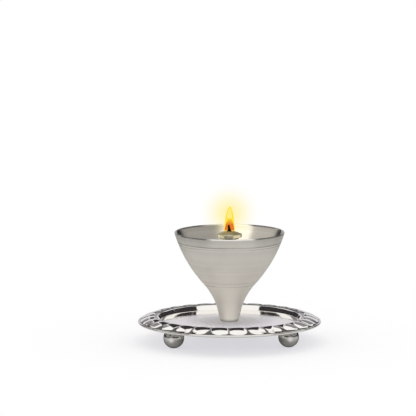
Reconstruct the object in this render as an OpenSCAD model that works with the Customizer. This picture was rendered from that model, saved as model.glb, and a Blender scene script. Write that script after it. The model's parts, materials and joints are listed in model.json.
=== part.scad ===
// Oil lamp: a funnel cup with a lift-out wick holder, on a gadrooned tray with ball feet.
// Millimetres, +Z up. The origin is on the ground under the middle of the tray, and -Y is the front.

/* [Tray] */
// Diameter over the rolled edge
tray_d = 120; // [100:1:150]
// Thickness of the sheet
tray_sheet = 0.8; // [0.6:0.02:1.1]
// Width of the border, from its crest to the outside of the rolled edge
border_w = 11.7; // [9:0.1:15]
// Height of the crest above the floor
crest_rise = 3.6; // [3:0.1:5]
// Fall of the border, from its crest to the middle of the rolled edge
border_fall = 3.8; // [3.2:0.1:5]
// Bow of the border's slope: 1 is straight, more is rounder
border_bow = 1.9; // [1.3:0.05:2.2]
// Slope of the wall between the floor and the crest, in degrees
wall_slope = 68; // [55:1:78]
// Bend radius between floor and wall, at the middle of the sheet
floor_bend = 0.9; // [0.7:0.05:1.2]
// Bend radius of the crest, at the middle of the sheet
crest_bend = 1.2; // [0.9:0.05:1.5]
// Flat lap at the crest that the lobes grow from
crest_lap = 0.3; // [0.25:0.05:0.5]
// Diameter of the rolled edge
roll_d = 1.6; // [1.3:0.05:2]

/* [Gadroons] */
// Number of lobes round the border
lobes = 28; // [22:1:34]
// Height of a lobe above the border's slope
lobe_h = 0.6; // [0.4:0.05:1]
// Length of a lobe's rounded inner end
lobe_tip = 1.7; // [1.2:0.1:2.5]
// Length of a lobe's rounded outer end
lobe_toe = 1.5; // [1:0.1:2]
// Roundness across a lobe: near 0 is a parabola, near 1 a half circle
lobe_round = 0.96; // [0.6:0.01:0.98]
// Turn of the first valley from the front, in degrees
lobe_turn = -3.5; // [-6:0.1:6]

/* [Feet] */
// Diameter of a ball foot
foot_d = 13.5; // [11:0.05:16.5]
// Diameter of the flat that a foot stands on
foot_flat_d = 2.4; // [1.6:0.1:3]
// Diameter of the flat that meets the tray
foot_seat_d = 4.4; // [3.6:0.1:5.5]
// Distance from the edge of the flat floor to a foot's axis
foot_inset = 2.2; // [1.8:0.1:4]
// Diameter of a stud
stud_d = 2.5; // [2:0.1:3]
// Length of a stud
stud_len = 6; // [4:0.1:8]

/* [Cup] */
// Diameter of the rim
rim_d = 72; // [60:0.5:87]
// Height of the bowl, from the seam on the stem to the rim
bowl_h = 33.5; // [27:0.1:41]
// Height of the stem, from the tray's floor to the seam
stem_h = 25; // [20.5:0.1:30]
// Diameter of the cup at the seam
seam_d = 34; // [28:0.1:41]
// Lean of the bowl's side at the rim, from upright, in degrees
rim_lean = 17; // [13:0.5:21]
// Thickness of the bowl's wall
bowl_wall = 1; // [0.8:0.05:1.3]
// Height of the stem's straight neck above the floor
neck_h = 4.5; // [3.5:0.1:6]
// Diameter at the top of the neck
neck_d = 14; // [11.5:0.1:17]
// Radius of the round at the neck's foot
neck_round = 1.5; // [1:0.1:2]
// Distance along the wall from the rim to the first scribed line
scribe_drop = 5.8; // [4:0.1:7]
// Distance between the two scribed lines
scribe_pitch = 1.6; // [1:0.1:2.5]
// Width of a scribed line
scribe_w = 0.5; // [0.3:0.05:0.6]
// Bevel on the edges of the bowl and the stem where they meet at the seam
seam_bevel = 0.2; // [0.1:0.05:0.3]
// Height of the spigot that the bowl sits round
spigot_h = 2; // [1.5:0.1:3]
// Width of the ledge on the spigot that carries the wick holder
ledge_w = 2.1; // [1.6:0.1:3]
// Diameter of the oil well's floor
well_floor_d = 9; // [7:0.1:11]
// Thickness of metal between the oil well and the tapped hole
well_floor_t = 5; // [4:0.1:6]

/* [Screw] */
// Thread diameter of the stem screw
screw_d = 4; // [3:0.1:5]
// Length of the stem screw under its head
screw_len = 10; // [8:0.5:12]
// Diameter of the screw's head
screw_head_d = 7.5; // [6.5:0.1:9]
// Height of the screw's head
screw_head_h = 2.6; // [2:0.1:3.2]
// Width across the flats of the head's hexagon socket
socket_af = 2.5; // [2:0.1:3]
// Diameter of the washer
washer_d = 9; // [8:0.1:11]
// Thickness of the washer
washer_t = 0.8; // [0.6:0.05:1]

/* [Wick holder] */
// Thickness of the base
base_t = 1.2; // [0.9:0.1:1.6]
// Number of oil holes in the base
base_holes = 6; // [4:1:8]
// Diameter of an oil hole
base_hole_d = 4.6; // [3.5:0.1:5.5]
// Outer diameter of the tube
tube_d = 8; // [7:0.1:9.6]
// Bore of the tube
tube_bore_d = 5.4; // [4.6:0.1:6.4]
// Height of the oil slots at the foot of the tube
slot_h = 6; // [4:0.5:8]
// Width of an oil slot
slot_w = 2; // [1.5:0.1:2.4]
// Diameter of the cap's flange
flange_d = 16.2; // [14:0.1:19.5]
// Height of the flange's upright edge
flange_h = 2; // [1.5:0.1:2.6]
// Radius of the rounds on the flange's edge
flange_round = 0.35; // [0.1:0.05:0.6]
// Diameter of the cap's collar, round the wick
collar_d = 7.4; // [6.2:0.1:8.8]
// Height of the cap's cone, from the flange to the collar
cone_h = 1.7; // [1.2:0.1:2.2]
// Height of the collar above the rim of the bowl
collar_rise = 1; // [0.4:0.1:2]
// Diameter of the cap's shoulder under the flange
shoulder_d = 12.3; // [11:0.1:13.5]
// Height of the shoulder
shoulder_h = 1.2; // [0.9:0.1:1.6]
// Thickness of metal left above the tube in the cap
cap_roof = 1.9; // [1.5:0.1:2.3]

/* [Wick] */
// Diameter of the wick
wick_d = 3.2; // [2.6:0.1:3.6]
// Height of the charred tip above the collar
tip_h = 4.3; // [3:0.1:6]
// Diameter at the end of the charred tip
tip_d = 1.6; // [1.2:0.1:2.2]
// Lean of the charred tip, in degrees
tip_lean = 7; // [0:1:10]

/* [Clearances] */
// Radial clearance of a screwed, pressed or soldered joint
joint_gap = 0.05; // [0.02:0.01:0.1]
// Radial clearance of the stem screw in the tray
screw_gap = 0.25; // [0.2:0.05:0.4]
// Radial clearance of the wick base inside the edge of its ledge
base_gap = 0.3; // [0.2:0.05:0.5]
// Gap all round the wick, and under it
wick_gap = 0.3; // [0.25:0.05:0.5]

/* [Hidden] */
$fn = 96;
// Steps along an arc of a turned profile
arc_steps = 14;
// Overlap of a cutting shape past the face that it cuts
cut = 0.5;

// Heights, from the ground up
foot_r = foot_d / 2;
foot_mid_z = sqrt(pow(foot_r, 2) - pow(foot_flat_d / 2, 2));
under_z = foot_mid_z + sqrt(pow(foot_r, 2) - pow(foot_seat_d / 2, 2));
floor_z = under_z + tray_sheet;
crest_z = floor_z + crest_rise;
seam_z = floor_z + stem_h;
rim_z = seam_z + bowl_h;
neck_z = floor_z + neck_h;
ledge_z = seam_z + spigot_h;
screw_seat_z = under_z - washer_t;
tapped_z = screw_seat_z + screw_len + cut;
well_z = tapped_z + well_floor_t;
collar_z = rim_z + collar_rise;
flange_z = collar_z - cone_h - flange_h;
shoulder_z = flange_z - shoulder_h;
tube_top_z = collar_z - cap_roof;

// Radii of the tray, from the outside in
roll_r = tray_d / 2 - roll_d / 2;
crest_r = tray_d / 2 - border_w;
bend_drop = (floor_bend + crest_bend) * (1 - cos(wall_slope));
bend_run = (floor_bend + crest_bend) * sin(wall_slope);
flat_r = crest_r - bend_run - (crest_rise - bend_drop) / tan(wall_slope);
foot_circle_r = flat_r - foot_inset;

// Directions of the left, right and rear foot, in degrees
feet_at = [210, 330, 90];

// Points of an arc round a middle, from one direction to another
function arc(mid, r, from, to, steps = arc_steps) =
    [for (i = [0 : steps]) let (a = from + (to - from) * i / steps) mid + r * [cos(a), sin(a)]];

// An arc from a top point to an end point that starts with a given lean. Lean is the angle of the profile
// from upright. The arc turns evenly by twice the angle between its chord and its first tangent, so the
// chord to a share of its length leans by that share of the angle. An inset moves it towards the axis.
function chord_lean(top, end) = atan2(top[0] - end[0], top[1] - end[1]);
function end_lean(top, end, lean) = 2 * chord_lean(top, end) - lean;
function sine_share(angle, share) = abs(angle) < 0.01 ? share : sin(angle * share) / sin(angle);
function lean_point(top, end, lean, share, inset = 0) = let (
    half_turn = chord_lean(top, end) - lean,
    chord = norm(top - end) * sine_share(half_turn, share),
    chord_at = lean + half_turn * share,
    lean_at = lean + 2 * half_turn * share)
    top - chord * [sin(chord_at), cos(chord_at)] - inset * [cos(lean_at), -sin(lean_at)];
function lean_arc(top, end, lean, inset = 0) =
    [for (i = [0 : arc_steps]) lean_point(top, end, lean, i / arc_steps, inset)];
function arc_length(top, end, lean) = let (half_turn = chord_lean(top, end) - lean)
    norm(top - end) * (abs(half_turn) < 0.01 ? 1 : half_turn * PI / 180 / sin(half_turn));

function without_first(points) = [for (i = [1 : len(points) - 1]) points[i]];
function without_last(points) = [for (i = [0 : len(points) - 2]) points[i]];
function reversed(points) = [for (i = [len(points) - 1 : -1 : 0]) points[i]];

// Outline of the cup: the bowl's arc runs on into the stem's hollow arc without a corner
rim_point = [rim_d / 2, rim_z];
seam_point = [seam_d / 2, seam_z];
neck_point = [neck_d / 2, neck_z];
seam_lean = end_lean(rim_point, seam_point, rim_lean);
neck_lean = end_lean(seam_point, neck_point, seam_lean);
foot_of_neck = neck_d / 2 - neck_h * tan(neck_lean);
seam_edge = seam_point - [seam_bevel, 0];
spigot_r = seam_d / 2 - bowl_wall / cos(seam_lean) - joint_gap;
well_r = spigot_r - ledge_w;

// Wick holder
base_bore_r = tube_d / 2 + joint_gap;
wick_r = wick_d / 2;
wick_hole_r = wick_r + wick_gap;

module tray() {
    color("gainsboro") difference() {
        union() {
            tray_pan();
            gadroons();
            rolled_edge();
        }
        translate([0, 0, under_z - cut]) cylinder(r = screw_d / 2 + screw_gap, h = tray_sheet + 2 * cut);
    }
}

// Floor, wall and crest of the tray as one turned sheet. Its middle line is a level floor, a bend up, a
// straight wall and a bend over the crest, and the sheet lies half its thickness to each side.
module tray_pan() {
    half = tray_sheet / 2;
    bend_mid = [flat_r, under_z + half + floor_bend];
    crest_mid = [crest_r, crest_z - half - crest_bend];
    upper = concat(arc(bend_mid, floor_bend - half, -90, wall_slope - 90, 6),
                   arc(crest_mid, crest_bend + half, 90 + wall_slope, 90, 8));
    lower = concat(arc(crest_mid, crest_bend - half, 90, 90 + wall_slope, 8),
                   arc(bend_mid, floor_bend + half, wall_slope - 90, -90, 6));
    rotate_extrude() polygon(concat(
        [[0, floor_z]], upper, [[crest_r + crest_lap, crest_z], [crest_r + crest_lap, crest_z - tray_sheet]],
        lower, [[0, under_z]]));
}

// Rolled edge: a round bead with an upright face towards the border
module rolled_edge() {
    bead_turn = 110;
    rotate_extrude() polygon(arc([roll_r, crest_z - border_fall], roll_d / 2, -bead_turn, bead_turn, 10));
}

// Gadrooned border. Across the border, out is the distance from the crest; round it, part is the share of
// the way from one valley to the next. A lobe is an arched swelling whose inner and outer ends are rounded:
// q is 0 along its ridge and 1 at its edge.
border_run = roll_r - crest_r;
lobe_start = 2 * crest_lap;
lobe_end = border_run - roll_d / 3;
sheet_drop = tray_sheet / cos(atan(border_fall / border_run));
lip_inset = tray_sheet / 8;

function slope_z(out) = crest_z - (border_fall - roll_d / 4) * pow(out / border_run, border_bow);
function end_share(gap, length) = max(0, 1 - gap / length);
function lobe_q(out, part) = min(1, pow(2 * part - 1, 2)
    + pow(end_share(out - lobe_start, lobe_tip), 2) + pow(end_share(lobe_end - out, lobe_toe), 2));
function swelling(q) = (sqrt(1 - lobe_round * q) - sqrt(1 - lobe_round)) / (1 - sqrt(1 - lobe_round));
function border_z(out, part) = slope_z(out) + lobe_h * swelling(lobe_q(out, part));

// Stations across a lobe, from its inner to its outer end, and round it from one valley to the next
tip_shares = [0, 0.25, 0.6, 1];
toe_shares = [1, 0.5, 0];
ridge_middle = (lobe_start + lobe_tip + lobe_end - lobe_toe) / 2;
across = concat([for (s = tip_shares) lobe_start + s * lobe_tip], [ridge_middle],
                [for (s = toe_shares) lobe_end - s * lobe_toe]);
round_one = [0, 0.1, 0.28, 0.5, 0.72, 0.9];

// Section of the border: a thin lip inside the crest's lap, the lobed sheet, and an end inside the roll
function border_section(part) = let (
    lip_top = crest_z - 1.5 * lip_inset,
    lip_under = crest_z - tray_sheet + 1.5 * lip_inset,
    lip_outs = [0.3 * crest_lap, 1.2 * crest_lap],
    end_z = slope_z(border_run))
    concat([for (o = lip_outs) [crest_r + o, lip_top]],
           [for (o = across) [crest_r + o, border_z(o, part)]],
           [[roll_r, end_z], [roll_r, end_z - sheet_drop + lip_inset]],
           [for (o = reversed(across)) [crest_r + o, border_z(o, part) - sheet_drop]],
           [for (o = reversed(lip_outs)) [crest_r + o, lip_under]]);

module gadroons() {
    rounds = lobes * len(round_one);
    per_section = len(border_section(0));
    points = [for (l = [0 : lobes - 1], part = round_one)
        let (a = lobe_turn - 90 + (l + part) * 360 / lobes)
        for (p = border_section(part)) [p[0] * cos(a), p[0] * sin(a), p[1]]];
    faces = [for (j = [0 : rounds - 1], k = [0 : per_section - 1])
        let (j2 = (j + 1) % rounds, k2 = (k + 1) % per_section,
             a = j * per_section + k, b = j2 * per_section + k,
             c = j2 * per_section + k2, d = j * per_section + k2)
        for (face = [[a, b, c], [a, c, d]]) face];
    polyhedron(points, faces);
}

module at_foot(i) {
    rotate(feet_at[i]) translate([foot_circle_r, 0, 0]) children();
}

// Ball foot: a ball cut flat where it stands and where it meets the tray, tapped for its stud
module ball_foot(i) {
    bore_depth = stud_len + cut;
    color("darkgray") at_foot(i) difference() {
        intersection() {
            translate([0, 0, foot_mid_z]) sphere(r = foot_r);
            cylinder(r = foot_d, h = under_z);
        }
        translate([0, 0, under_z - bore_depth]) cylinder(d = stud_d + 2 * joint_gap, h = bore_depth + cut);
    }
}

module foot_left() {
    ball_foot(0);
}

module foot_right() {
    ball_foot(1);
}

module foot_rear() {
    ball_foot(2);
}

module foot_studs() {
    color("silver") for (i = [0 : len(feet_at) - 1])
        at_foot(i) translate([0, 0, under_z - stud_len]) cylinder(d = stud_d, h = stud_len);
}

// Lower part of the cup: a hollow arc down to a tapered neck, an oil well in the top and a tapped hole below
module stem() {
    bevel_share = seam_bevel / arc_length(seam_point, neck_point, seam_lean);
    bevel_end = lean_point(seam_point, neck_point, seam_lean, bevel_share);
    side = concat([seam_edge, bevel_end], without_first(lean_arc(seam_point, neck_point, seam_lean)));
    toe = arc([foot_of_neck - neck_round, floor_z + neck_round], neck_round, -neck_lean, -90, 5);
    color("silver") difference() {
        rotate_extrude() polygon(concat(
            [[0, ledge_z], [spigot_r, ledge_z], [spigot_r, seam_z]], side, toe, [[0, floor_z]]));
        rotate_extrude() polygon([[0, well_z], [well_floor_d / 2, well_z], [well_r, ledge_z],
                                  [well_r, ledge_z + cut], [0, ledge_z + cut]]);
        translate([0, 0, floor_z - cut]) cylinder(r = screw_d / 2 + joint_gap, h = tapped_z - floor_z + cut);
    }
}

// Spun bowl: one arc inside and out, a half-round lip and two scribed lines
module oil_bowl() {
    bevel_share = seam_bevel / arc_length(rim_point, seam_point, rim_lean);
    bevel_end = lean_point(rim_point, seam_point, rim_lean, 1 - bevel_share);
    outer = concat(without_last(lean_arc(rim_point, seam_point, rim_lean)), [bevel_end, seam_edge]);
    inner = lean_arc(rim_point, seam_point, rim_lean, bowl_wall);
    lip_middle = lean_point(rim_point, seam_point, rim_lean, 0, bowl_wall / 2);
    lip = arc(lip_middle, bowl_wall / 2, 180 - rim_lean, -rim_lean, 8);
    color("silver") difference() {
        rotate_extrude() polygon(concat(lip, outer, [[spigot_r + joint_gap, seam_z]], reversed(inner)));
        for (i = [0, 1]) scribed_line(scribe_drop + i * scribe_pitch);
    }
}

module scribed_line(along) {
    share = along / arc_length(rim_point, seam_point, rim_lean);
    at = lean_point(rim_point, seam_point, rim_lean, share);
    rotate_extrude() translate(at) circle(d = scribe_w, $fn = 8);
}

// Pan-head screw from below, with a hexagon socket
module stem_screw() {
    head_z = screw_seat_z - screw_head_h;
    dome = screw_head_h / 2;
    color("lightsteelblue") difference() {
        rotate_extrude() polygon([
            [0, head_z], [screw_head_d / 2 - dome, head_z], [screw_head_d / 2, head_z + dome],
            [screw_head_d / 2, screw_seat_z], [screw_d / 2, screw_seat_z],
            [screw_d / 2, screw_seat_z + screw_len], [0, screw_seat_z + screw_len]]);
        translate([0, 0, head_z - cut]) cylinder(d = socket_af / cos(30), h = dome + cut, $fn = 6);
    }
}

module stem_washer() {
    color("lightgray") translate([0, 0, screw_seat_z]) difference() {
        cylinder(d = washer_d, h = washer_t);
        translate([0, 0, -cut]) cylinder(r = screw_d / 2 + screw_gap, h = washer_t + 2 * cut);
    }
}

// Perforated disc that stands on the ledge of the stem, inside the bowl
module wick_base() {
    hole_circle_r = (base_bore_r + well_r) / 2;
    color("khaki") translate([0, 0, ledge_z]) difference() {
        cylinder(r = spigot_r - base_gap, h = base_t);
        translate([0, 0, -cut]) cylinder(r = base_bore_r, h = base_t + 2 * cut);
        for (i = [0 : base_holes - 1]) rotate(i * 360 / base_holes)
            translate([hole_circle_r, 0, -cut]) cylinder(d = base_hole_d, h = base_t + 2 * cut);
    }
}

// Tube from the base up into the cap, with oil slots just above the base
module wick_tube() {
    slot_z = ledge_z + base_t + slot_w;
    tube_len = tube_top_z - ledge_z;
    color("khaki") difference() {
        translate([0, 0, ledge_z]) cylinder(d = tube_d, h = tube_len);
        translate([0, 0, ledge_z - cut]) cylinder(d = tube_bore_d, h = tube_len + 2 * cut);
        for (turn = [0, 90]) rotate(turn)
            translate([-tube_d, -slot_w / 2, slot_z]) cube([2 * tube_d, slot_w, slot_h]);
    }
}

// Flanged cap: cone, upright edge and shoulder, with a socket for the tube and a hole for the wick
module wick_cap() {
    round_r = flange_d / 2 - flange_round;
    cone_turn = 90 - atan(cone_h / (flange_d / 2 - collar_d / 2));
    upper_z = flange_z + flange_h - flange_round * tan(cone_turn / 2);
    edge = concat(arc([round_r, flange_z + flange_round], flange_round, -90, 0, 5),
                  arc([round_r, upper_z], flange_round, 0, cone_turn, 5));
    color("khaki") difference() {
        rotate_extrude() polygon(concat(
            [[0, shoulder_z], [shoulder_d / 2, shoulder_z], [shoulder_d / 2, flange_z]], edge,
            [[collar_d / 2, collar_z], [0, collar_z]]));
        translate([0, 0, shoulder_z - cut])
            cylinder(r = tube_d / 2 + joint_gap, h = tube_top_z - shoulder_z + cut);
        translate([0, 0, shoulder_z]) cylinder(r = wick_hole_r, h = collar_z - shoulder_z + cut);
    }
}

// Round cotton wick from the oil well up through the cap, with a thin leaning tip
module wick() {
    foot_z = well_z + wick_gap;
    color("ivory") union() {
        translate([0, 0, foot_z]) cylinder(r = wick_r, h = collar_z - foot_z);
        translate([0, 0, collar_z]) rotate([0, -tip_lean, 0]) cylinder(d1 = wick_d, d2 = tip_d, h = tip_h);
        translate([0, 0, collar_z]) sphere(r = wick_r);
    }
}

tray();
foot_left();
foot_right();
foot_rear();
foot_studs();
stem();
oil_bowl();
stem_screw();
stem_washer();
wick_base();
wick_tube();
wick_cap();
wick();
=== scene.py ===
"""Visible surfaces and finishes of an oil lamp: a funnel cup with a wick holder on a gadrooned tray."""

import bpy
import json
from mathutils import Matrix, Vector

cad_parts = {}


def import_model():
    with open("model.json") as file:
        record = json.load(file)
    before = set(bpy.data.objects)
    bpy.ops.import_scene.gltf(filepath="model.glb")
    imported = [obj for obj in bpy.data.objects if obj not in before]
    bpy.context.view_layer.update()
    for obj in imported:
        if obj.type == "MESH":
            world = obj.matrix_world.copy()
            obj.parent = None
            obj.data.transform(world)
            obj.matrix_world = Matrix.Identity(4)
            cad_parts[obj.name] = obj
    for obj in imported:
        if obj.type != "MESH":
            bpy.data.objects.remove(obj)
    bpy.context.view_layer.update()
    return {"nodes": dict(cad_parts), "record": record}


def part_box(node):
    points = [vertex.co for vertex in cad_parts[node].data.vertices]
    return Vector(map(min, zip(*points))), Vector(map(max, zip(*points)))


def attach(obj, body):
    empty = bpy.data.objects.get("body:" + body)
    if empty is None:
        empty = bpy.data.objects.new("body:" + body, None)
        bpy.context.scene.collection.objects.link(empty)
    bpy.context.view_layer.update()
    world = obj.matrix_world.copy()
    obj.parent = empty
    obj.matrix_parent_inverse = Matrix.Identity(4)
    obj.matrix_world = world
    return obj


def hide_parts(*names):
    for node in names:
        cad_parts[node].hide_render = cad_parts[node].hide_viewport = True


bl_info = {
    "name": "Oil lamp on a gadrooned tray",
    "version": (1, 0, 0),
    "blender": (4, 5, 0),
    "location": "View3D > Sidebar > Oil lamp",
    "description": "Models an oil lamp's tray, cup, wick holder and wick, with their finishes and a stage",
    "category": "Object",
}

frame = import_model()        # nodes and record of the imported lamp

import json
import math

import bmesh
import bpy
import numpy as np
from bpy.props import FloatProperty, FloatVectorProperty, IntProperty, PointerProperty
from mathutils import Vector

MM = 0.001

# Places of the pieces, from the frame
UNDER_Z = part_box("foot_studs")[1].z
FLOOR_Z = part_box("stem")[0].z
SEAM_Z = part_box("oil_bowl")[0].z
LEDGE_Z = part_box("wick_base")[0].z
COLLAR_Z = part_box("wick_cap")[1].z
SHOULDER_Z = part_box("wick_cap")[0].z
TUBE_TOP_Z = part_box("wick_tube")[1].z
WICK_FOOT_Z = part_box("wick")[0].z
FEET = {mount["name"].split("_")[0]: mount["pos_m"] for mount in frame["record"]["mounts"]}


def linear(code):
    """Turns an sRGB hex colour into linear red, green and blue."""
    values = np.array([int(code[i:i + 2], 16) for i in (1, 3, 5)]) / 255
    curve = np.where(values <= 0.04045, values / 12.92, ((values + 0.055) / 1.055) ** 2.4)
    return tuple(curve.tolist())


def length(name, description, millimetres):
    """A length property, with its default given in millimetres."""
    return FloatProperty(name=name, description=description, default=millimetres * MM, min=0.0,
                         precision=5, subtype="DISTANCE", unit="LENGTH")


def angle(name, description, degrees):
    """An angle property, with its default given in degrees."""
    return FloatProperty(name=name, description=description, default=math.radians(degrees),
                         subtype="ANGLE", unit="ROTATION")


def share(name, description, default):
    """A plain number property without a unit."""
    return FloatProperty(name=name, description=description, default=default, min=0.0, subtype="FACTOR")


def colour(name, description, code):
    """A colour property, with its default given as an sRGB hex value."""
    return FloatVectorProperty(name=name, description=description, default=linear(code), min=0.0, max=1.0,
                               size=3, subtype="COLOR")


class LampTraySizes(bpy.types.PropertyGroup):
    """Sizes of the tray and its gadrooned border."""
    diameter: length("Diameter", "Diameter over the rolled edge", 120)
    sheet: length("Sheet", "Thickness of the sheet", 0.8)
    screw_hole: length("Screw hole", "Diameter of the hole for the stem screw", 4.5)
    border_width: length("Border width", "From the crest to the outside of the rolled edge", 11.7)
    crest_rise: length("Crest rise", "Height of the crest above the floor", 3.6)
    border_fall: length("Border fall", "From the crest down to the middle of the rolled edge", 3.8)
    border_bow: share("Border bow", "1 is a straight slope, more is rounder", 1.9)
    wall_slope: angle("Wall slope", "Slope of the wall between floor and crest", 68)
    floor_bend: length("Floor bend", "Bend radius between floor and wall", 0.9)
    crest_bend: length("Crest bend", "Bend radius of the crest", 1.2)
    crest_lap: length("Crest lap", "Flat lap at the crest that the lobes grow from", 0.3)
    roll: length("Rolled edge", "Diameter of the rolled edge", 1.6)
    lobes: IntProperty(name="Lobes", description="Number of lobes round the border", default=28, min=3)
    lobe_height: length("Lobe height", "Height of a lobe above the border's slope", 0.6)
    lobe_tip: length("Lobe tip", "Length of a lobe's rounded inner end", 1.7)
    lobe_toe: length("Lobe toe", "Length of a lobe's rounded outer end", 1.5)
    lobe_round: share("Lobe roundness", "Near 0 a lobe is a parabola across, near 1 a half circle", 0.96)
    lobe_turn: angle("Lobe turn", "Turn of the first valley from the front", -3.5)


class LampFootSizes(bpy.types.PropertyGroup):
    """Sizes of the ball feet."""
    diameter: length("Diameter", "Diameter of a ball", 13.5)
    flat: length("Flat", "Diameter of the flat that a foot stands on", 2.4)
    seat: length("Seat", "Diameter of the flat that meets the tray", 4.4)
    bore: length("Bore", "Diameter of the hole for the stud", 2.6)
    bore_depth: length("Bore depth", "Depth of the hole for the stud", 6.5)


class LampCupSizes(bpy.types.PropertyGroup):
    """Sizes of the cup: its bowl above the seam and its stem below."""
    rim: length("Rim", "Diameter of the rim", 72)
    bowl_height: length("Bowl height", "From the seam up to the rim", 33.5)
    seam: length("Seam", "Diameter at the seam", 34)
    rim_lean: angle("Rim lean", "Lean of the bowl's side at the rim, from upright", 17)
    wall: length("Wall", "Thickness of the bowl's wall", 1)
    neck: length("Neck", "Diameter at the top of the neck", 14)
    neck_height: length("Neck height", "Height of the neck above the tray's floor", 4.5)
    neck_round: length("Neck round", "Radius of the round at the neck's foot", 1.5)
    scribe_drop: length("Scribe drop", "Along the wall from the rim to the first scribed line", 5.8)
    scribe_pitch: length("Scribe pitch", "Between the two scribed lines", 1.6)
    scribe_width: length("Scribe width", "Width of a scribed line", 0.5)
    scribe_depth: length("Scribe depth", "Depth of a scribed line", 0.25)
    seam_bevel: length("Seam bevel", "Bevel on the edges of bowl and stem where they meet", 0.2)
    ledge: length("Ledge", "Width of the ledge that carries the wick holder", 2.1)
    joint_gap: length("Joint gap", "Radial clearance of the soldered and screwed joints", 0.05)
    well_floor: length("Well floor", "Diameter of the oil well's floor", 9)
    well_depth: length("Well depth", "From the ledge down to the oil well's floor", 13.1)
    tapped: length("Tapped hole", "Diameter of the hole for the screw", 4.1)
    tapped_depth: length("Tapped depth", "Depth of the hole for the screw", 8.9)


class LampHolderSizes(bpy.types.PropertyGroup):
    """Sizes of the wick holder: base, tube and cap."""
    base: length("Base", "Diameter of the base", 30.6)
    base_thickness: length("Base thickness", "Thickness of the base", 1.2)
    holes: IntProperty(name="Oil holes", description="Number of oil holes in the base", default=6, min=3)
    hole: length("Oil hole", "Diameter of an oil hole", 4.6)
    hole_circle: length("Hole circle", "Diameter of the circle that the oil holes lie on", 17.55)
    tube: length("Tube", "Outer diameter of the tube", 8)
    bore: length("Bore", "Bore of the tube", 5.4)
    slot_width: length("Slot width", "Width of an oil slot in the tube", 2)
    slot_height: length("Slot height", "Height of an oil slot in the tube", 6)
    slot_rise: length("Slot rise", "Height of the oil slots above the base's top", 2)
    flange: length("Flange", "Diameter of the cap's flange", 16.2)
    flange_height: length("Flange height", "Height of the flange's upright edge", 2)
    flange_round: length("Flange round", "Radius of the rounds on the flange's edge", 0.2)
    collar: length("Collar", "Diameter of the cap's top, round the wick", 7.4)
    cone_height: length("Cone height", "From the flange up to the collar", 1.7)
    shoulder: length("Shoulder", "Diameter of the shoulder under the flange", 12.3)
    wick_hole: length("Wick hole", "Diameter of the hole for the wick", 3.8)
    fit_gap: length("Fit gap", "Radial clearance of the tube in the base and the cap", 0.05)
    soft_edge: length("Soft edge", "Rounding of the wick hole, the collar and the shoulder", 0.2)


class LampWickSizes(bpy.types.PropertyGroup):
    """Sizes of the cotton wick."""
    diameter: length("Diameter", "Diameter over the strands", 3.2)
    tip_height: length("Tip height", "Height of the charred tip above the cap", 4.3)
    tip: length("Tip", "Diameter at the end of the charred tip", 1.6)
    tip_lean: angle("Tip lean", "Lean of the charred tip towards the left", 7)
    strands: IntProperty(name="Strands", description="Number of twisted strands", default=3, min=2)
    lay: length("Lay", "Height of one full turn of a strand", 9)


class LampColours(bpy.types.PropertyGroup):
    """Colours of the finishes and of the stage."""
    polished: colour("Polished nickel", "Mirror polished plate of the tray", "#F7F4EF")
    satin: colour("Satin nickel", "Turned plate of the cup", "#ECE8E2")
    steel: colour("Satin steel", "Ball feet", "#CCC9C5")
    brass: colour("Plated brass", "Wick holder", "#DDD5BA")
    # The collar's straw yellow is a heat tint and a painted light from the flame
    heat_and_flame_light: colour("Heat tint", "Collar of the wick holder, turned straw yellow by the flame", "#E6B45E")
    zinc: colour("Zinc plate", "Screw, washer and studs", "#B9BCC0")
    cotton: colour("Cotton", "Clean part of the wick", "#E8DFCB")
    char: colour("Char", "Burnt part of the wick", "#15100D")
    ground: colour("Ground", "Light that the ground gives where it lies in shadow", "#C6C5CC")
    dark_card: colour("Dark card", "Cards that tray and balls mirror as dark bands", "#353335")
    pale_card: colour("Pale card", "Card by the bowl that the right of its inside mirrors", "#C6C3BD")
    shade_card: colour("Shade card", "Card by the bowl that the left of its inside mirrors", "#A8A6A1")
    grey_card: colour("Grey card", "Cards of the tray's grey floor and the balls' highlights", "#E0DEE4")
    stripe_card: colour("Stripe card", "Cards that lobes at the tray's ends mirror as stripes", "#8A888C")
    glow_card: colour("Glow card", "Cards that the bowl's inside and the cap mirror as a glow", "#FFFCF0")
    flame_low: colour("Flame foot", "Lower part of the flame", "#E0662C")
    flame_high: colour("Flame top", "Upper part of the flame", "#FFE952")
    flame_core: colour("Flame core", "Bright middle of the flame", "#FFF8B0")
    flame_halo: colour("Flame halo", "Glow round the flame", "#FFF6B4")


def arc(middle, radius, start, end, steps):
    """Points of a circle round a middle, evenly from one direction to another, in degrees."""
    turn = np.radians(np.linspace(start, end, steps))
    return np.stack([middle[0] + radius * np.cos(turn), middle[1] + radius * np.sin(turn)], axis=1)


def straight(start, end, steps):
    """Evenly spaced points from one point to another, without the last one."""
    return np.linspace(start, end, steps, endpoint=False)


def chord_lean(top, end):
    """Lean, from upright, of the line from a top point down to an end point."""
    return math.atan2(top[0] - end[0], top[1] - end[1])


def leaning_arc(top, end, lean, along, inset=0.0):
    """Arc that leaves the top point at a lean from upright and reaches the end point.

    The arc turns evenly by twice the angle between its chord and its first tangent, so the chord to a
    share of its length leans by that share of the angle. An inset moves a point towards the axis, square
    to the arc.
    """
    half_turn = chord_lean(top, end) - lean
    chord = math.dist(top, end) * np.sin(half_turn * along) / math.sin(half_turn)
    chord_at = lean + half_turn * along
    lean_at = lean + 2 * half_turn * along
    return np.stack([top[0] - chord * np.sin(chord_at) - inset * np.cos(lean_at),
                     top[1] - chord * np.cos(chord_at) + inset * np.sin(lean_at)], axis=-1)


def ring(turn, radius, z):
    """Points at directions round the axis, at one radius and height."""
    return np.stack([radius * np.cos(turn), radius * np.sin(turn), np.full(len(turn), z)], axis=1)


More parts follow.
